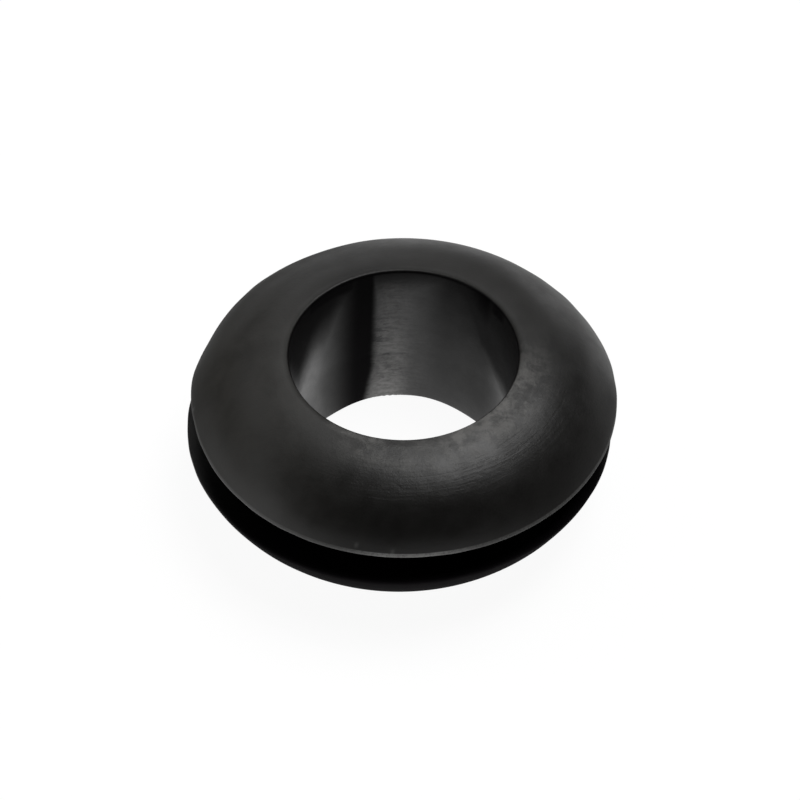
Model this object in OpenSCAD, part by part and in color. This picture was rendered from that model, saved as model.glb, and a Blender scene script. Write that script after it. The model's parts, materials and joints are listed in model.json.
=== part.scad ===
// Rubber grommet: one moulded ring with two domed flanges, a panel groove between them and a
// straight bore for a cable or tube. It lies on its lower crest, in millimetres, with +Z up along
// the bore and the origin at the centre of its underside.

/* [Flanges] */
// Outer diameter of both flanges
flange_d = 22.2; // [20:0.1:40]
// Height of the upper flange, from the groove to its crest
upper_flange_h = 3.65; // [1.5:0.05:4.9]
// Height of the lower flange, from the groove to its crest
lower_flange_h = 4.15; // [1.5:0.05:4.9]
// How far inside the bore's wall the lower dome's arc is centred: more makes a flatter dome
lower_dome_inset = 1.2; // [0:0.1:3]
// Height of the upright band round each rim, where the mould parts
rim_band_h = 0.08; // [0.02:0.01:0.5]
// Radius of the rounding between that band and the groove's side
rim_r = 0.1; // [0.02:0.01:0.5]
// Width of the level ring on each crest, outside the mouth's rounding
crest_w = 0.3; // [0.1:0.05:1.5]

/* [Bore] */
// Diameter of the bore
bore_d = 12; // [4:0.1:13]
// Radius of the rounding at each mouth of the bore
mouth_r = 0.15; // [0.05:0.01:0.6]

/* [Groove] */
// Diameter of the groove's floor, for a panel hole of this size
groove_d = 16; // [13.5:0.1:20]
// Width of the groove, for a panel of this thickness
groove_w = 1.8; // [0.8:0.1:6]
// Radius of the two fillets at the groove's floor
root_r = 0.25; // [0.05:0.01:0.4]

/* [Hidden] */
$fn = 180;

rubber_colour = [0.11, 0.11, 0.105];

bore_r = bore_d / 2;
flange_r = flange_d / 2;
groove_r = groove_d / 2;

// A dome starts at the top of the rim's band and ends at the outer edge of the crest's level ring.
// Both are taken as seen from the bore's wall and the groove's side.
dome_run = flange_r - bore_r;
dome_foot = rim_r + rim_band_h;
crest_edge = mouth_r + crest_w;

// Its arc is centred this far below the crest, which keeps both ends of the dome at one distance
// from the centre. With no inset the centre is under the bore's wall, and the arc runs nearly
// level into the crest.
function dome_drop(h, inset) =
    let (rise = h - dome_foot, far = dome_run + inset, near = crest_edge + inset)
    (far * far + rise * rise - near * near) / (2 * rise);

// A quarter of a disc, in the corner between the two axes
module quarter_disc(r)
{
    intersection() {
        circle(r = r);
        square(r);
    }
}

// What a quarter disc leaves of a square: a fillet for an inside corner at the origin
module corner_fillet(r)
{
    difference() {
        square(r);
        translate([r, r])
            circle(r = r);
    }
}

// One flange's half section, with its groove side on the X axis and its crest at height h
module flange_section(h, inset)
{
    // Under the dome, with the rim's lower corner left open for its rounding
    intersection() {
        translate([bore_r - inset, h - dome_drop(h, inset)])
            circle(r = norm([crest_edge + inset, dome_drop(h, inset)]));
        polygon([
            [bore_r + mouth_r, 0],
            [flange_r - rim_r, 0],
            [flange_r - rim_r, rim_r],
            [flange_r, rim_r],
            [flange_r, h],
            [bore_r + mouth_r, h]
        ]);
    }
    translate([flange_r - rim_r, rim_r])
        mirror([0, 1])
            quarter_disc(rim_r);

    // Along the bore's wall, up to the mouth's rounding
    translate([bore_r, 0])
        square([mouth_r, h - mouth_r]);
    translate([bore_r + mouth_r, h - mouth_r])
        mirror([1, 0])
            quarter_disc(mouth_r);
}

// The half section of the ring between the flanges, with its lower side on the X axis
module neck_section()
{
    translate([bore_r, 0])
        square([groove_r - bore_r, groove_w]);
    translate([groove_r, 0])
        corner_fillet(root_r);
    translate([groove_r, groove_w])
        mirror([0, 1])
            corner_fillet(root_r);
}

// The whole half section, from the underside up
module grommet_section()
{
    translate([0, lower_flange_h])
        mirror([0, 1])
            flange_section(lower_flange_h, lower_dome_inset);
    translate([0, lower_flange_h])
        neck_section();
    translate([0, lower_flange_h + groove_w])
        flange_section(upper_flange_h, 0);
}

module grommet()
{
    color(rubber_colour)
        rotate_extrude()
            grommet_section();
}

grommet();
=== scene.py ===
# Looks for the rubber grommet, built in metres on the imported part's own frame.
import json
import bpy
import numpy as np
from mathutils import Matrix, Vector


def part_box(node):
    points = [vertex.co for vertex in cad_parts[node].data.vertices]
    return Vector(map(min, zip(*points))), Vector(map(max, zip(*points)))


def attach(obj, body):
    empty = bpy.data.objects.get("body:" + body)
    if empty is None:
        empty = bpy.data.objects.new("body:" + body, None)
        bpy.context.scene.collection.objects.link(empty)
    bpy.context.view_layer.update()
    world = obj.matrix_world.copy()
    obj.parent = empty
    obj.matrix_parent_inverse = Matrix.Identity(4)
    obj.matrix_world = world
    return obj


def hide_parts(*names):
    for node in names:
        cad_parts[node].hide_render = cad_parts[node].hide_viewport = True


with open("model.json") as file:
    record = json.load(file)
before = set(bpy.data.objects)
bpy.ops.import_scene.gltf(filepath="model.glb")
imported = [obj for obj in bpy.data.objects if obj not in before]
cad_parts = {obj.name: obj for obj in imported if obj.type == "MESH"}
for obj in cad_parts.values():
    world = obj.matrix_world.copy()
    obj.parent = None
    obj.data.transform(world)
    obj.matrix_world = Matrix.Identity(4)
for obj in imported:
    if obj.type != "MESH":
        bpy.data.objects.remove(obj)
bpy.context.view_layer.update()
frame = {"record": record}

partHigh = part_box("grommet")[1]
mounts = {mount["name"]: mount for mount in frame["record"]["mounts"]}
bore = mounts["cable_bore"]["dims"]
groove = mounts["panel_groove"]["dims"]
grooveMiddle = mounts["panel_groove"]["pos_m"][2]
mm = 0.001

# The ring's sizes, in millimetres and degrees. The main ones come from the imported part.
# Degrees run from the right (0) towards the back (90).
ring = {
    "flangeRadius": partHigh.x / mm,
    "height": partHigh.z / mm,
    "boreRadius": bore["r_mm"],
    "grooveRadius": groove["r_mm"],
    "grooveBottom": grooveMiddle / mm - groove["length_mm"] / 2,
    "grooveTop": grooveMiddle / mm + groove["length_mm"] / 2,
    "lowerInset": 1.2,       # how far inside the bore's wall the lower dome is centred
    "rootFillet": 0.25,
    "rimRound": 0.1,
    "rimBand": 0.08,
    "crestWidth": 0.3,
    "mouthRound": 0.15,
    "around": 432,           # points round the ring
    "upperSteps": 60,        # points over the upper dome
    "lowerSteps": 34,        # and over the lower one
    "wallSteps": 36,         # points down each half of the bore's wall
    "neckSteps": 4,          # and along the small parts of each flange's section
    "filletSteps": 5,
    "sideSteps": 6,
    "rimSteps": 5,
    "bandSteps": 2,
    "crestSteps": 3,
    "mouthSteps": 6,
    "wallRamp": (0.14, 0.01),      # outside the bore's wall, where points come to count as part of it
    "outerStart": 0.2,             # outside the bore's wall, where the flanges and the groove start
    "upperRamp": (-0.05, 0.1),     # over the groove's top, for the upper flange,
    "underRamp": (0.08, -0.05),    # for all that lies below it
    "domeRamp": (0.1, 0.6),        # and for the dome's ripples
    "upperShift": 0.06,      # the upper rim lies this far to the right of the bore's mouth
    "lowerShift": -0.233,    # the lower half of the moulding lies this far to the left of it
    "upperSwells": [(134, 26, 0.10), (174, 16, 0.12)],   # each: degrees, half width in degrees, height
    "lipSwells": [(47, 37, 0.27), (131, 33, 0.23)],      # inwards, at the bore's lower end
    "lipRamp": (3.6, 0.2),   # the heights between which they grow to their full size
    "rippleHeight": 0.008,
    "rippleLength": 3.0,
    "rippleWaves": (2, 9),   # fewest and most round the ring
    "rippleCount": 16,
    "rimRipple": 0.006,
    "rimRippleLength": 9,
    "rimRippleWaves": (6, 44),
    "rimRippleCount": 24,
    "rimRippleWidth": 1.2,
    "nicks": [(-103.5, 0.987), (-93.5, 0.993), (184, 0.996)],  # degrees, share of the radius
    "nickSize": 0.11,
    "nickDepth": 0.03,
    "seamZone": (84, 110, 6, 4),   # the mould's parting mark on the bore's wall, over the chalky band
    "seamAt": 97,            # where its height is measured
    "seamHeight": 3.3,
    "seamRise": 0.005,       # for each degree
    "seamWidth": 0.11,
    "seamDepth": 0.020,
    "scoreDepth": 0.010,     # scoring left by the core pin
    "scoreLength": 1.6,
    "scoreWaves": (90, 170),
    "scoreCount": 24,
    "seed": 11,
}

# The finish round the ring, with its painted light and shade. A zone is where it starts, where it ends
# and the widths of its two soft ends, in degrees. A ramp rises from its first number to its second, and
# falls where the first is the higher. A patch is a strength, a zone and any ramps, in millimetres: over
# the radius on the flanges, and over the height in the bore and for the painted shade at the lower
# flange's front.
# The film is partly the rubber's own grey bloom and partly painted light, laid thick on the left and the
# back. The dull parts are painted shade: the groove, the lower flange and parts of the bore take a
# darker, dull copy of the rubber, and the flange's edges and the mouth lose their reflections. In the
# bore the gloss is laid in bands as painted reflection. So these differ round the ring more than on a
# real moulding. The pale line round the rim is a painted highlight. The rubbed crest, the nicks and the
# chalk are marks.
finish = {
    "front": (-112, -5, 40, 50),   # the side where the crest is rubbed
    # painted light: the film's grey lies thick on the left, round the left rim and on the back
    "film": (1.0, (138, 238, 60, 60)),
    "filmThins": (0.4, (145, 190, 30, 40), (9.6, 10.8)),
    "filmRing": (0.28, (168, 202, 24, 30), (8.2, 9.6), (11, 10.5)),
    "filmBack": (0.35, (15, 100, 30, 40), (8.6, 7.6)),
    # painted shade: the dull copy takes the reflections off these stretches of the upper flange's
    # outside, and off the mouth except at the front
    "dullEdge": [
        (0.85, (100, 205, 40, 50), (7.8, 10.0)),
        (0.70, (-62, 9, 40, 30), (9.5, 10.9)),
        (0.35, (-124, -60, 30, 30), (9.2, 9.9), (10.9, 10.5)),
        (0.25, (10, 90, 30, 40), (8.2, 9.6)),
    ],
    "dullMouth": 0.6,
    "mouthReach": (0.35, 0.05),    # outside the bore's wall
    "underLevel": 0.35,            # painted shade on the groove and the lower flange
    "underFront": (0.64, (208, 352, 40, 30), (0.5, 1.9)),
    "crestReach": (2.4, 0.8),      # outside the bore's wall
    "crestBare": (0.7, (-100, -72, 16, 12), (7.7, 7.1)),
    "mouthWear": [
        (1.0, (-80, -12, 40, 30), (7.0, 6.3)),
        (1.0, (-126, -98, 16, 12), (6.6, 6.3)),
    ],
    "streakReach": (10.2, 9.0),
    # painted highlight: a pale line round the rim's edge, brightest at the front, for the light that the
    # edge catches
    "rimWear": [
        (0.16, (150, 370, 40, 40)),
        (0.06, (-90, -5, 40, 20)),
        (0.60, (-102, -76, 16, 16)),
    ],
    "rimLip": (0.3, 0.1),          # inside the flange's edge
    "nickMark": 0.25,
    # the bore's wall
    # painted reflection: the coat's strength in the bore, laid in bands and strongest low on the left
    "glossLevel": 0.36,
    "gloss": [
        (-0.09, (108, 132, 4, 8)),
        (-0.09, (18, 42, 10, 10)),
        (0.36, (135.5, 230, 7, 50), (8, 5)),
    ],
    "chalkHides": 0.4,             # of the gloss
    "leftStart": (80, 110),        # degrees, where the wall's left half starts and ends
    "leftEnd": (350, 300),
    # degrees, and the height above which the wall is in painted shade, darker and without its gloss
    "shadeLine": [(0, 3.9), (20, 3.9), (34, 4.5), (46, 5.4), (56, 7.6), (68, 9.0), (108, 8.9),
                  (124, 7.9), (130, 7.1), (136, 6.9), (142, 6.5), (148, 5.6), (154, 4.8), (160, 5.6),
                  (166, 6.8), (360, 3.9)],
    "shadeReach": (1.5, 0.8),      # of the blur, below the line and above it
    "shadeLevel": 0.84,
    "shadeLeft": 0.1,              # added on the left half
    "blurLevel": 0.9,
    "blurPatch": (0.5, (44, 74, 16, 20)),
    "blurLeft": 0.8,
    "fadeLevel": 0.12,             # painted shade between the two sides, and more of it for each millimetre up
    "fadeRise": 0.075,
    "fadeStart": (24, 44),
    "fadeEnd": (90, 64),
    "fadeExtra": 0.28,             # on the right
    "fadeExtraRamp": (64, 42),
    "deep": [
        (1.0, (24, 44, 16, 14), (7.6, 9.0)),
        (1.0, (112, 150, 10, 14), (7.6, 9.0)),
    ],
    "bandStart": (-3, 2),          # degrees past the chalk's edge, where an upright band of painted shade starts
    "bandEnd": (137, 112),
    # how far the bore's painted shade takes the dull, darker copy of the rubber
    "wornDull": 0.95,
    # the chalky band in the bore, in degrees and then in height
    "chalkFaint": (0.15, (70, 86)),
    "chalkFull": (0.85, (83, 95)),
    "chalkEnd": (126, 118),
    "chalkThins": (0.5, (3, 8)),
    "chalkTop": (9.1, 8.5),
    "chalkEdge": 104.0,            # its left edge, and how far that steps left near the floor
    "chalkStep": 3.4,
    "chalkStepTop": 2.5,           # the step's height, and its length downwards
    "chalkStepRun": 2.1,
    "scoreEnd": (2, -2),           # degrees past the edge
    "pitStart": (-9, -2),
    "pitLow": (3.6, 4.4),
    "pitHigh": (7, 6),
}


def smoothStep(value, start, end):
    # 0 up to the start, 1 past the end, and 3t^2 - 2t^3 between them, where t runs from 0 to 1.
    # It falls with the value where the start is the higher.
    t = np.clip((value - start) / (end - start), 0, 1)
    return t * t * (3 - 2 * t)


def turnFrom(degrees, middle):
    # The shorter way round from the middle to each angle, in degrees
    return (degrees - middle + 180) % 360 - 180


def window(degrees, start, end, softStart, softEnd):
    # 1 between two angles, with soft ends of the widths given
    turn = turnFrom(degrees, (start + end) / 2)
    half = (end - start) / 2
    return (smoothStep(turn, -half - softStart / 2, -half + softStart / 2)
            * smoothStep(turn, half + softEnd / 2, half - softEnd / 2))


def patch(degrees, distance, strength, zone, *ramps):
    # strength * the zone's window * each ramp over the distance, a radius or a height
    share = strength * window(degrees, *zone)
    for ramp in ramps:
        share = share * smoothStep(distance, *ramp)
    return share


def patches(degrees, distance, rows):
    # Several patches, one above another in a new first axis
    return np.stack(np.broadcast_arrays(*[patch(degrees, distance, *row) for row in rows]))


def linePoints(start, end, count):
    # Even steps from start towards end, with end itself left out
    share = np.linspace(0, 1, count, endpoint=False)[:, None]
    return np.array(start) * (1 - share) + np.array(end) * share


def arcPoints(centre, radius, fromAngle, toAngle, count):
    # centre + radius (cos a, sin a) as a runs from one angle to the other, with the last left out
    a = np.linspace(fromAngle, toAngle, count, endpoint=False)
    return np.array(centre) + radius * np.stack([np.cos(a), np.sin(a)], 1)


def flangeSection(size, top, inset, middle, domeSteps):
    # One flange as (radius, height over the groove's side), from the groove's floor out along the side,
    # round the rim, over the dome's arc to the level crest, and down the bore's wall to the middle
    wall = size["boreRadius"]
    fillet = size["rootFillet"]
    rim = size["rimRound"]
    mouth = size["mouthRound"]
    edge = size["flangeRadius"]
    neck = size["grooveRadius"]
    foot = rim + size["rimBand"]
    crestEdge = mouth + size["crestWidth"]
    far = edge - wall + inset
    near = crestEdge + inset
    rise = top - foot
    drop = (far ** 2 + rise ** 2 - near ** 2) / (2 * rise)   # the arc's centre, below the crest
    right = np.pi / 2
    return np.concatenate([
        linePoints((neck, -middle), (neck, -fillet), size["neckSteps"]),
        arcPoints((neck + fillet, -fillet), fillet, 2 * right, right, size["filletSteps"]),
        linePoints((neck + fillet, 0), (edge - rim, 0), size["sideSteps"]),
        arcPoints((edge - rim, rim), rim, -right, 0, size["rimSteps"]),
        linePoints((edge, rim), (edge, foot), size["bandSteps"]),
        arcPoints((wall - inset, top - drop), np.hypot(near, drop),
                  np.arctan2(drop - rise, far), np.arctan2(drop, near), domeSteps),
        linePoints((wall + crestEdge, top), (wall + mouth, top), size["crestSteps"]),
        arcPoints((wall + mouth, top - mouth), mouth, right, 2 * right, size["mouthSteps"]),
        linePoints((wall, top - mouth), (wall, -middle), size["wallSteps"]),
    ])


def wholeSection(size):
    # The upper flange, and the lower one turned over, as one closed loop
    halfGroove = (size["grooveTop"] - size["grooveBottom"]) / 2
    upper = flangeSection(size, size["height"] - size["grooveTop"], 0, halfGroove, size["upperSteps"])
    lower = flangeSection(size, size["grooveBottom"], size["lowerInset"], halfGroove, size["lowerSteps"])
    turnedOver = np.concatenate([[[size["boreRadius"], -halfGroove]], lower[:0:-1]])
    upper = upper + (0, size["grooveTop"])
    return np.concatenate([upper, turnedOver * (1, -1) + (0, size["grooveBottom"])])


def ripples(a, along, length, waveRange, count, draw):
    # A sum of cosines of about unit height: each has its own whole number of waves round the ring,
    # its own pitch along the section and its own phase
    fewest, most = waveRange
    waves = draw.integers(fewest, most + 1, count)[:, None, None]
    pitch = draw.uniform(-1, 1, count)[:, None, None] * 2 * np.pi / length
    phase = draw.uniform(0, 2 * np.pi, count)[:, None, None]
    return np.cos(waves * a + pitch * along + phase).sum(0) / np.sqrt(count / 2)


def regions(r, z, size):
    # Shares from 0 to 1, from the radius and the height: the bore's wall, what lies outside it,
    # the upper flange's outside, and all that lies below that
    overGroove = z - size["grooveTop"]
    wall = smoothStep(r - size["boreRadius"], *size["wallRamp"])
    outer = smoothStep(r, size["boreRadius"] + size["outerStart"], size["grooveRadius"])
    upper = smoothStep(overGroove, *size["upperRamp"])
    under = smoothStep(overGroove, *size["underRamp"]) * (1 - wall)
    return {"wall": wall, "outer": outer, "upper": upper, "under": under}


def chalkBand(degrees, z, wall, look):
    # The chalk's share from 0 to 1, and how many degrees each point lies past its left edge,
    # which steps left near the floor
    faint, faintRamp = look["chalkFaint"]
    full, fullRamp = look["chalkFull"]
    thins, thinsRamp = look["chalkThins"]
    chalk = faint * smoothStep(degrees, *faintRamp) + full * smoothStep(degrees, *fullRamp)
    chalk = wall * chalk * smoothStep(degrees, *look["chalkEnd"])
    chalk = chalk * (1 - thins * smoothStep(z, *thinsRamp)) * smoothStep(z, *look["chalkTop"])
    step = look["chalkStep"] * np.clip((look["chalkStepTop"] - z) / look["chalkStepRun"], 0, 1)
    return chalk, degrees - look["chalkEdge"] - step


def swells(degrees, rows, share):
    # Each row's height * a step from its half width's end to its middle, times the share
    return sum(height * share * smoothStep(half - np.abs(turnFrom(degrees, middle)), 0, half)
               for middle, half, height in rows)


def nickMarks(degrees, r, z, upper, size):
    # exp(-(distance / half size)^2) round each nick's middle, on the upper flange
    above = upper * (z > size["grooveTop"] + size["rimRound"])
    marks = 0
    for middle, share in size["nicks"]:
        across = np.radians(turnFrom(degrees, middle)) * size["flangeRadius"]
        out = r - share * size["flangeRadius"]
        marks = marks + above * np.exp(-(across ** 2 + out ** 2) / (size["nickSize"] / 2) ** 2)
    return marks


def paintedBoreShadeMask(degrees, z, chalkTurn, look):
    # Painted shade in the bore: the wall turns darker and loses its gloss above a line that falls
    # towards both sides, fades upwards between them, and deep under the mouth at two places and in one
    # upright band
    line = np.interp(degrees, *zip(*look["shadeLine"]))
    leftHalf = smoothStep(degrees, *look["leftStart"]) * smoothStep(degrees, *look["leftEnd"])
    blur = look["blurLevel"] + patch(degrees, z, *look["blurPatch"]) + look["blurLeft"] * leftHalf
    below, above = look["shadeReach"]
    shade = smoothStep(z, line - blur * below, line + blur * above)
    shade = shade * (look["shadeLevel"] + look["shadeLeft"] * leftHalf)
    fade = (look["fadeLevel"] + look["fadeRise"] * z) * smoothStep(degrees, *look["fadeStart"])
    fade = fade * smoothStep(degrees, *look["fadeEnd"])
    fade = fade * (1 + look["fadeExtra"] * smoothStep(degrees, *look["fadeExtraRamp"]))
    deep = patches(degrees, z, look["deep"]).sum(0)
    band = smoothStep(chalkTurn, *look["bandStart"]) * smoothStep(degrees, *look["bandEnd"])
    return np.maximum(np.maximum(shade, deep), np.maximum(fade, band))


def finishMasks(degrees, r, z, parts, bandOfChalk, look, size):
    # What the rubber reads at each point: rise, the height in millimetres, chalkTurn, the degrees past
    # the chalk's edge, and shares that run from about 0 to about 1
    wall, upper, under = parts["wall"], parts["upper"], parts["under"]
    chalk, chalkTurn = bandOfChalk
    onUpper = upper * (1 - wall)
    beyondBore = r - size["boreRadius"]
    front = window(degrees, *look["front"])
    crest = onUpper * smoothStep(beyondBore, *look["crestReach"])
    mouth = onUpper * smoothStep(beyondBore, *look["mouthReach"])
    # the film: the rubber's own bloom, laid thick as painted light on the left and the back
    film = patch(degrees, r, *look["film"]) * (1 - patch(degrees, r, *look["filmThins"]))
    film = film + patch(degrees, r, *look["filmRing"])
    # painted shade on the groove and the lower flange, darker at the front
    paintedShadeUnder = look["underLevel"] + patch(degrees, z, *look["underFront"])
    # painted shade in the bore
    paintedBoreShade = wall * paintedBoreShadeMask(degrees, z, chalkTurn, look)
    gloss = look["glossLevel"] + patches(degrees, z, look["gloss"]).sum(0)
    # painted shade: reflections taken off the flange's edges and, except at the front, off the mouth
    paintedShadeOutside = np.maximum(patches(degrees, r, look["dullEdge"]).max(0) * onUpper,
                             mouth * look["dullMouth"] * (1 - front))
    pitted = smoothStep(chalkTurn, *look["pitStart"]) * smoothStep(z, *look["pitLow"])
    rimLip = upper * smoothStep(size["flangeRadius"] - r, *look["rimLip"])
    return {
        "rise": z + 0 * degrees,
        "gloss": wall * gloss * (1 - paintedBoreShade) * (1 - look["chalkHides"] * chalk),
        # painted shade: where the dull, darker copy of the rubber is mixed in
        "dull": np.maximum(np.maximum(under * paintedShadeUnder, paintedBoreShade * look["wornDull"]), paintedShadeOutside),
        # painted shade: where the dull copy turns near black
        "under": np.maximum(under * paintedShadeUnder, paintedBoreShade),
        "chalk": chalk,
        "chalkTurn": chalkTurn,
        "pitted": chalk * pitted * smoothStep(z, *look["pitHigh"]),
        "film": np.maximum(film, patch(degrees, r, *look["filmBack"])) * onUpper,
        "scuff": crest * front * (1 - patch(degrees, r, *look["crestBare"])),
        "mouthWear": onUpper * patches(degrees, r, look["mouthWear"]).max(0),
        "streaks": onUpper * smoothStep(r, *look["streakReach"]) * front,
        # painted highlight line at the rim
        "rimWear": rimLip * patches(degrees, r, look["rimWear"]).sum(0),
    }


def revolve(name, section, size, look):
    # Each section point (r, z) is carried round the axis: x = r cos a + shift, y = r sin a, z = z.
    # The swells, ripples, scores, seam and nicks move it along the section's own normal, the lips
    # move it towards the axis, and the shift sets the two halves of the moulding out of line.
    draw = np.random.default_rng(size["seed"])
    rows, columns = len(section), size["around"]
    a = (np.arange(columns) * 2 * np.pi / columns)[None, :]
    degrees = np.degrees(a)
    r = section[:, 0][:, None]
    z = section[:, 1][:, None]
    step = np.roll(section, -1, 0) - np.roll(section, 1, 0)
    normal = np.stack([step[:, 1], -step[:, 0]], 1) / np.hypot(step[:, 0], step[:, 1])[:, None]
    along = np.cumsum(np.hypot(*(section - np.roll(section, 1, 0)).T))[:, None]

    parts = regions(r, z, size)
    wall, outer, upper = parts["wall"], parts["outer"], parts["upper"]
    bandOfChalk = chalkBand(degrees, z, wall, look)
    chalk, chalkTurn = bandOfChalk
    rim = smoothStep(r, size["flangeRadius"] - size["rimRippleWidth"], size["flangeRadius"])
    dome = upper * (1 - wall) * smoothStep(z - size["grooveTop"], *size["domeRamp"])
    towardsRim = upper * smoothStep(r, size["grooveRadius"], size["flangeRadius"])

    move = size["rippleHeight"] * dome * ripples(
        a, along, size["rippleLength"], size["rippleWaves"], size["rippleCount"], draw)
    move += size["rimRipple"] * rim * ripples(
        a, along, size["rimRippleLength"], size["rimRippleWaves"], size["rimRippleCount"], draw)
    move += swells(degrees, size["upperSwells"], towardsRim)
    move += size["scoreDepth"] * chalk * smoothStep(chalkTurn, *look["scoreEnd"]) * ripples(
        a, along, size["scoreLength"], size["scoreWaves"], size["scoreCount"], draw)
    seamLine = size["seamHeight"] + size["seamRise"] * (degrees - size["seamAt"])
    seam = wall * np.exp(-((z - seamLine) / size["seamWidth"]) ** 2) * window(degrees, *size["seamZone"])
    move -= size["seamDepth"] * seam
    nick = nickMarks(degrees, r, z, upper, size)
    move -= size["nickDepth"] * nick
    lip = swells(degrees, size["lipSwells"], wall * smoothStep(z, *size["lipRamp"]))

    low = 1 - smoothStep(z, size["grooveBottom"], size["grooveTop"])
    lean = size["lowerShift"] * (1 - z / size["height"])
    outward = (r - size["boreRadius"]) / (size["flangeRadius"] - size["boreRadius"])
    parted = size["lowerShift"] * low + size["upperShift"] * outward * (1 - low)
    moved = r + normal[:, 0][:, None] * move - lip
    x = moved * np.cos(a) + lean * (1 - outer) + parted * outer
    y = moved * np.sin(a)
    co = np.stack([x, y, z + normal[:, 1][:, None] * move], 2) * mm
    i = np.arange(rows)[:, None]
    j = np.arange(columns)[None, :]
    nextI = (i + 1) % rows
    nextJ = (j + 1) % columns
    corners = [(i, j), (i, nextJ), (nextI, nextJ), (nextI, j)]
    quads = np.stack([row * columns + column for row, column in corners], 2)
    mesh = bpy.data.meshes.new(name)
    mesh.from_pydata(co.reshape(-1, 3), [], quads.reshape(-1, 4))
    mesh.polygons.foreach_set("use_smooth", np.ones(rows * columns, bool))

    ringPlace = np.stack(np.broadcast_arrays(np.cos(a), np.sin(a), r), 2)
    addNumbers(mesh, "ringPlace", "FLOAT_VECTOR", "vector", ringPlace)
    masks = finishMasks(degrees, r, z, parts, bandOfChalk, look, size)
    masks["mark"] = np.clip(nick, 0, 1) * look["nickMark"]
    masks["seam"] = seam
    for maskName, mask in masks.items():
        addNumbers(mesh, maskName, "FLOAT", "value", mask)
    piece = bpy.data.objects.new(name, mesh)
    bpy.context.scene.collection.objects.link(piece)
    return piece


def addNumbers(mesh, name, kind, field, values):
    mesh.attributes.new(name, kind, "POINT").data.foreach_set(field, values.astype(np.float32).ravel())


class Value:
    # A shader socket that takes part in sums: each operator adds one Math node to the tree
    def __init__(self, maker, socket):
        self.maker = maker
        self.socket = socket

    def math(self, operation, *others):
        links = {i: other for i, other in enumerate((self, *others))}
        return self.maker.add("ShaderNodeMath", {"operation": operation}, links)[0]

    def __add__(self, other):
        return self.math("ADD", other)

    def __radd__(self, other):
        return self.math("ADD", other)

    def __sub__(self, other):
        return self.math("SUBTRACT", other)

    def __mul__(self, other):
        return self.math("MULTIPLY", other)

    def __rmul__(self, other):
        return self.math("MULTIPLY", other)

    def between(self, low, high):
        # 0 up to low and 1 past high, with a smooth run between
        links = {0: self, 1: low, 2: high, 3: 0.0, 4: 1.0}
        return self.maker.add("ShaderNodeMapRange", {"interpolation_type": "SMOOTHSTEP"}, links)[0]

    def amount(self, strength, low, high):
        return strength * self.between(low, high)


class Maker:
    # Adds nodes to one material's tree
    def __init__(self, name):
        self.material = bpy.data.materials.new(name)
        self.material.use_nodes = True
        self.tree = self.material.node_tree
        self.tree.nodes.clear()

    def add(self, kind, settings=None, inputs=None):
        # One node: its type, its settings, and the values or links of its sockets. Gives its outputs.
        node = self.tree.nodes.new(kind)
        for name, value in (settings or {}).items():
            setattr(node, name, value)
        for key, value in (inputs or {}).items():
            if isinstance(value, Value):
                self.tree.links.new(value.socket, node.inputs[key])
            else:
                node.inputs[key].default_value = value
        return [Value(self, socket) for socket in node.outputs]

    def number(self, name):
        # One of the mesh's own masks
        return self.add("ShaderNodeAttribute", {"attribute_name": name})[2]

    def blend(self, factor, first, second):
        # first where the factor is 0, second where it is 1
        return self.add("ShaderNodeMix", {"data_type": "RGBA"}, {0: factor, 6: first, 7: second})[2]


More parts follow.
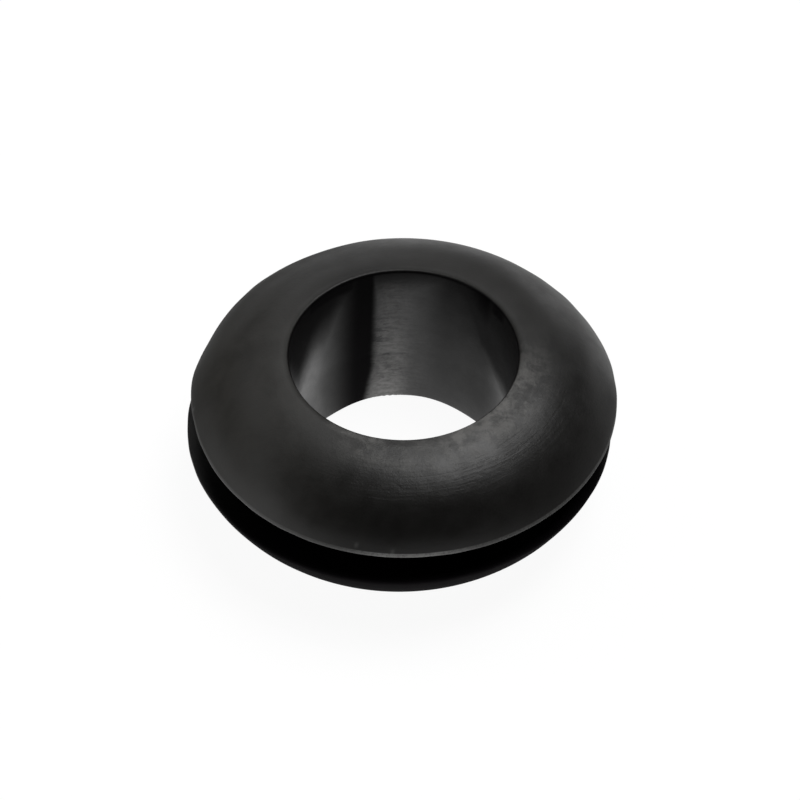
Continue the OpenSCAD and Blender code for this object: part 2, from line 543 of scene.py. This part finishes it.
rubber = {
    "black": (0.0045, 0.0042, 0.0038, 1),
    "bloom": (0.0272, 0.0260, 0.0236, 1),    # the grey film that works out of the rubber, and painted light where it lies thick
    "rubbed": (0.062, 0.060, 0.056, 1),      # greyed by handling, round the mouth
    "chalk": (0.250, 0.246, 0.240, 1),       # dry, scored rubber in the bore
    # near black for the pits and the parting mark, and the painted shade's near black
    "pit": (0.0042, 0.0036, 0.0042, 1),
    "torn": (0.20, 0.20, 0.195, 1),          # a fresh nick, and the painted highlight line round the rim
    "roughness": 0.43,
    "specular": 0.35,
    "coatRoughness": 0.2,                    # the bore's wall, whose coat is laid in bands as painted reflection
    # the dull copy of the rubber, which stands in for shade
    "dullRoughness": 0.62,
    "dullSpecular": 0.02,
    "underRoughness": 0.25,                  # added where the painted shade is near black: in the groove, below it and in the bore
    # the patterns: patches for each metre, and how each is broken up
    "mottle": {"Scale": 900, "Detail": 4.0, "Roughness": 0.6},
    "grain": {"Scale": 7000, "Detail": 3.0, "Roughness": 0.65},
    "score": {"Scale": 2000, "Detail": 4.0, "Roughness": 0.6, "Distortion": 0.4},
    "blotch": {"Scale": 1100, "Detail": 5.0, "Roughness": 0.65, "Distortion": 0.3},
    "dash": {"Scale": 2000, "Detail": 3.0, "Roughness": 0.6},
    "dashShape": (1.0, 1.0, 2.6),            # flat dashes scored across the chalky band
    "streak": {"Scale": 1.0, "Detail": 3.0, "Roughness": 0.55},
    "streakTurn": 2.2,                       # for each radian round the ring
    "streakPitch": 5.5,                      # and for each millimetre across it
    "noiseMean": 0.5,
    "dashReach": 14,                         # degrees by which each pattern breaks up the chalk's edge
    "scoreReach": 6,
    # A row of three is a strength, and the values of its pattern where it starts to show and shows
    # in full. A pair is the last two.
    "chalkSoft": (-4.5, 6.5),                # degrees inside the edge
    "filmShow": (0.3, 0.25, 0.75),
    "filmLeast": 0.06,
    # how strongly the film's painted light shows
    "filmGain": 0.74,
    "rubbedStreak": (0.35, 0.40, 0.65),
    "rubbedBlotch": (0.9, 0.42, 0.58),
    "rubbedGaps": (0.30, 0.52),
    "speckleLevel": 0.10,
    "speckleBlotch": (0.10, 0.30, 0.70),
    "speckleScore": (0.10, 0.40, 0.60),
    "lipWidth": 0.035,                       # millimetres of painted highlight line round the rim
    "lipSoft": 0.02,
    "lipLevel": 0.5,
    "lipGrain": (0.5, 0.3, 0.6),
    "dryLevel": 0.34,
    "dryDash": (0.38, 0.36, 0.60),
    "dryBlotch": (0.30, 0.38, 0.60),
    "pitShow": (0.56, 0.43),
    "seamLevel": 0.35,
    "seamScore": (0.5, 0.6, 0.4),
    "glossLevel": 0.8,
    "glossScore": (0.3, 0.3, 0.7),
    "roughMottle": 0.26,
    "roughStreak": 0.20,
    "roughChalk": 0.15,
    "bumpStrength": 0.5,
    "grainDepth": 0.000012,                  # metres, for a height of 1
    "bumpGrain": 0.9,
    "bumpMottle": 0.6,
    "bumpDash": 3.2,
    "bumpScore": 2.2,
    "bumpStreak": 1.0,
    "bumpStreakMottle": (2.4, 0.35, 0.65),
}


def rubberPatterns(make, look):
    # The noises by name. The dashes are flattened, and the streaks follow the ring round.
    place = make.add("ShaderNodeTexCoord")[3]
    patterns = {}
    for name in ("mottle", "grain", "score", "blotch"):
        patterns[name] = make.add("ShaderNodeTexNoise", {}, {"Vector": place, **look[name]})[0]
    flat = make.add("ShaderNodeVectorMath", {"operation": "MULTIPLY"}, {
        0: place, 1: look["dashShape"]})[0]
    patterns["dash"] = make.add("ShaderNodeTexNoise", {}, {"Vector": flat, **look["dash"]})[0]
    ringPlace = make.add("ShaderNodeAttribute", {"attribute_name": "ringPlace"})[1]
    turn, pitch = look["streakTurn"], look["streakPitch"]
    stretch = make.add("ShaderNodeVectorMath", {"operation": "MULTIPLY"}, {
        0: ringPlace, 1: (turn, turn, pitch)})[0]
    patterns["streak"] = make.add("ShaderNodeTexNoise", {"noise_dimensions": "4D"}, {
        "Vector": stretch, "W": make.number("rise") * pitch, **look["streak"]})[0]
    patterns["radius"] = make.add("ShaderNodeSeparateXYZ", {}, {0: ringPlace})[2]
    return patterns


def rubberColour(make, look, patterns, chalk):
    # Black rubber under each layer in turn: film and its painted light, rubbed crest, worn mouth,
    # painted highlight line at the rim, chalk, pits, the parting mark and the nicks
    mottle, grain, score = patterns["mottle"], patterns["grain"], patterns["score"]
    blotch, dash, streak = patterns["blotch"], patterns["dash"], patterns["streak"]
    film = mottle.amount(*look["filmShow"]) + (1 - look["filmShow"][0])
    # painted light where the film's mask is strong
    film = film * (look["filmLeast"] + look["filmGain"] * make.number("film"))
    colour = make.blend(film, look["black"], look["bloom"])
    rubbed = streak.amount(*look["rubbedStreak"]) + blotch.amount(*look["rubbedBlotch"])
    rubbed = make.number("scuff") * rubbed * mottle.between(*look["rubbedGaps"])
    colour = make.blend(rubbed, colour, look["rubbed"])
    speckle = look["speckleLevel"] + blotch.amount(*look["speckleBlotch"])
    speckle = speckle + score.amount(*look["speckleScore"])
    colour = make.blend(make.number("mouthWear") * speckle, colour, look["chalk"])
    # painted highlight: a thin pale line at the rim's edge
    lipStart = ring["flangeRadius"] - look["lipWidth"]
    lip = patterns["radius"].between(lipStart - look["lipSoft"], lipStart)
    lip = make.number("rimWear") * lip * (look["lipLevel"] + grain.amount(*look["lipGrain"]))
    colour = make.blend(lip, colour, look["torn"])
    dry = chalk * (dash.amount(*look["dryDash"]) + blotch.amount(*look["dryBlotch"]) + look["dryLevel"])
    colour = make.blend(dry, colour, look["chalk"])
    colour = make.blend(make.number("pitted") * dash.between(*look["pitShow"]), colour, look["pit"])
    seam = make.number("seam") * (look["seamLevel"] + score.amount(*look["seamScore"]))
    colour = make.blend(seam, colour, look["pit"])
    return make.blend(make.number("mark"), colour, look["torn"])


def rubberBump(make, look, patterns, chalk):
    # Strength * pattern for each, summed, as a height for one Bump
    scuff = make.number("scuff")
    height = patterns["grain"] * look["bumpGrain"] + patterns["mottle"] * look["bumpMottle"]
    height = height + patterns["dash"] * chalk * look["bumpDash"]
    height = height + patterns["score"] * scuff * look["bumpScore"]
    streaks = look["bumpStreak"] + patterns["mottle"].amount(*look["bumpStreakMottle"])
    height = height + patterns["streak"] * make.number("streaks") * streaks
    return make.add("ShaderNodeBump", {}, {
        "Strength": look["bumpStrength"], "Distance": look["grainDepth"], "Height": height})[0]


def rubberMaterial(look):
    make = Maker("satinRubber")
    patterns = rubberPatterns(make, look)
    under = make.number("under")
    mean = look["noiseMean"]
    chalkTurn = make.number("chalkTurn") + (patterns["dash"] - mean) * look["dashReach"]
    chalkTurn = chalkTurn + (patterns["score"] - mean) * look["scoreReach"]
    chalk = make.number("chalk") * (-1 * chalkTurn).between(*look["chalkSoft"])
    colour = rubberColour(make, look, patterns, chalk)
    normal = rubberBump(make, look, patterns, chalk)
    roughness = look["roughness"] + (patterns["mottle"] - mean) * look["roughMottle"]
    roughness = roughness + (patterns["streak"] - mean) * look["roughStreak"] * make.number("scuff")
    roughness = roughness + chalk * look["roughChalk"]
    # painted reflection: the coat laid in bands in the bore
    gloss = make.number("gloss") * (look["glossLevel"] + patterns["score"].amount(*look["glossScore"]))
    satin = make.add("ShaderNodeBsdfPrincipled", {}, {
        "Base Color": colour,
        "Roughness": roughness,
        "Specular IOR Level": look["specular"],
        "Coat Weight": gloss,
        "Coat Roughness": look["coatRoughness"],
        "Normal": normal,
    })[0]
    # painted shade: a dull copy of the rubber, near black where the painted shade is deepest
    dull = make.add("ShaderNodeBsdfPrincipled", {}, {
        "Base Color": make.blend(under, colour, look["pit"]),
        "Roughness": look["dullRoughness"] + look["underRoughness"] * under,
        "Specular IOR Level": look["dullSpecular"],
        "Normal": normal,
    })[0]
    shader = make.add("ShaderNodeMixShader", {}, {0: make.number("dull"), 1: satin, 2: dull})[0]
    make.add("ShaderNodeOutputMaterial", {}, {"Surface": shader})
    return make.material


print("grommet: section carried round the bore")
grommet = revolve("grommetRing", wholeSection(ring), ring, finish)
grommet.data.materials.append(rubberMaterial(rubber))
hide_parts("grommet")
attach(grommet, "root")

studio = {
    "floorSize": 8.0,
    "floorColour": (0.08, 0.08, 0.08, 1),
    "floorGlow": 0.94,
    "floorDrop": 0.02 * mm,  # keeps the floor clear of the level face that stands over it
    "skyColour": (0.97, 0.97, 0.97, 1),
    "distance": 1.6,
    "strengthAt": 0.6,       # metres: the lamps' strengths are the watts they would need from there
    # each lamp: degrees round from the right towards the back, degrees up, degrees across, strength
    "lamps": {
        "keyBox": (38, 63, 30, 1.34),
        "topRight": (0, 77, 26, 1.10),
        "topBack": (90, 69, 30, 0.62),
        "backFill": (97, 24, 26, 0.29),
        "backLeftFill": (148, 38, 30, 0.28),
        "leftFill": (180, 24, 24, 0.20),
        "lowLeft": (203, 7, 13, 0.19),
        "lowBack": (65, 7, 13, 0.14),
    },
}


def floorPiece(size):
    half = size["floorSize"] / 2
    low = -size["floorDrop"]
    corners = np.array([(-half, -half, low), (half, -half, low), (half, half, low), (-half, half, low)])
    mesh = bpy.data.meshes.new("floor")
    mesh.from_pydata(corners, [], [(0, 1, 2, 3)])
    floor = bpy.data.objects.new("floor", mesh)
    bpy.context.scene.collection.objects.link(floor)
    make = Maker("paleFloor")
    matt = make.add("ShaderNodeBsdfDiffuse", {}, {"Color": size["floorColour"]})[0]
    glow = make.add("ShaderNodeEmission", {}, {"Color": (1, 1, 1, 1), "Strength": size["floorGlow"]})[0]
    shader = make.add("ShaderNodeAddShader", {}, {0: matt, 1: glow})[0]
    make.add("ShaderNodeOutputMaterial", {}, {"Surface": shader})
    mesh.materials.append(make.material)


def aim(item, place, target):
    # Puts the item at the place with its -Z axis towards the target
    item.location = place
    item.rotation_mode = "QUATERNION"
    item.rotation_quaternion = (target - place).to_track_quat("-Z", "Y")


def softBox(name, around, up, across, strength):
    # A disc that spans the angle across, with watts = strength * (distance / strengthAt)^2
    around, up = np.radians(around), np.radians(up)
    light = bpy.data.lights.new(name, "AREA")
    light.shape = "DISK"
    light.size = 2 * studio["distance"] * np.tan(np.radians(across / 2))
    light.energy = strength * (studio["distance"] / studio["strengthAt"]) ** 2
    item = bpy.data.objects.new(name, light)
    bpy.context.scene.collection.objects.link(item)
    item.visible_camera = False
    middle = Vector((0, 0, ring["height"] / 2 * mm))
    direction = Vector((np.cos(around) * np.cos(up), np.sin(around) * np.cos(up), np.sin(up)))
    aim(item, middle + direction * studio["distance"], middle)


def backdropSky(colour):
    # A plain pale sky that only the camera sees, so it lights nothing
    world = bpy.data.worlds.new("studioSky")
    world.use_nodes = True
    world.node_tree.nodes["Background"].inputs["Color"].default_value = colour
    world.cycles_visibility.diffuse = False
    world.cycles_visibility.glossy = False
    bpy.context.scene.world = world


print("studio: floor and lights")
floorPiece(studio)
for lampName, lamp in studio["lamps"].items():
    softBox(lampName, *lamp)
backdropSky(studio["skyColour"])
bpy.context.scene.view_settings.view_transform = "Standard"

eye = {
    "up": 46.98,             # degrees above the floor
    "distance": 1.11,
    "lens": 957.0,           # millimetres, as is the sensor's width
    "sensor": 36,
    "near": 0.01,
    "far": 10,
    "right": -0.188 * mm,    # where the view's middle passes the bore's mouth, to its right and above it
    "above": -2.367 * mm,
}


def eyePiece(size):
    up = np.radians(size["up"])
    backward = Vector((0, -np.cos(up), np.sin(up)))
    upward = Vector((0, np.sin(up), np.cos(up)))
    target = Vector((size["right"], 0, ring["height"] * mm)) + upward * size["above"]
    camera = bpy.data.objects.new("eye", bpy.data.cameras.new("eye"))
    bpy.context.scene.collection.objects.link(camera)
    camera.data.lens = size["lens"]
    camera.data.sensor_width = size["sensor"]
    camera.data.clip_start = size["near"]
    camera.data.clip_end = size["far"]
    aim(camera, target + backward * size["distance"], target)
    bpy.context.scene.camera = camera


print("camera")
eyePiece(eye)
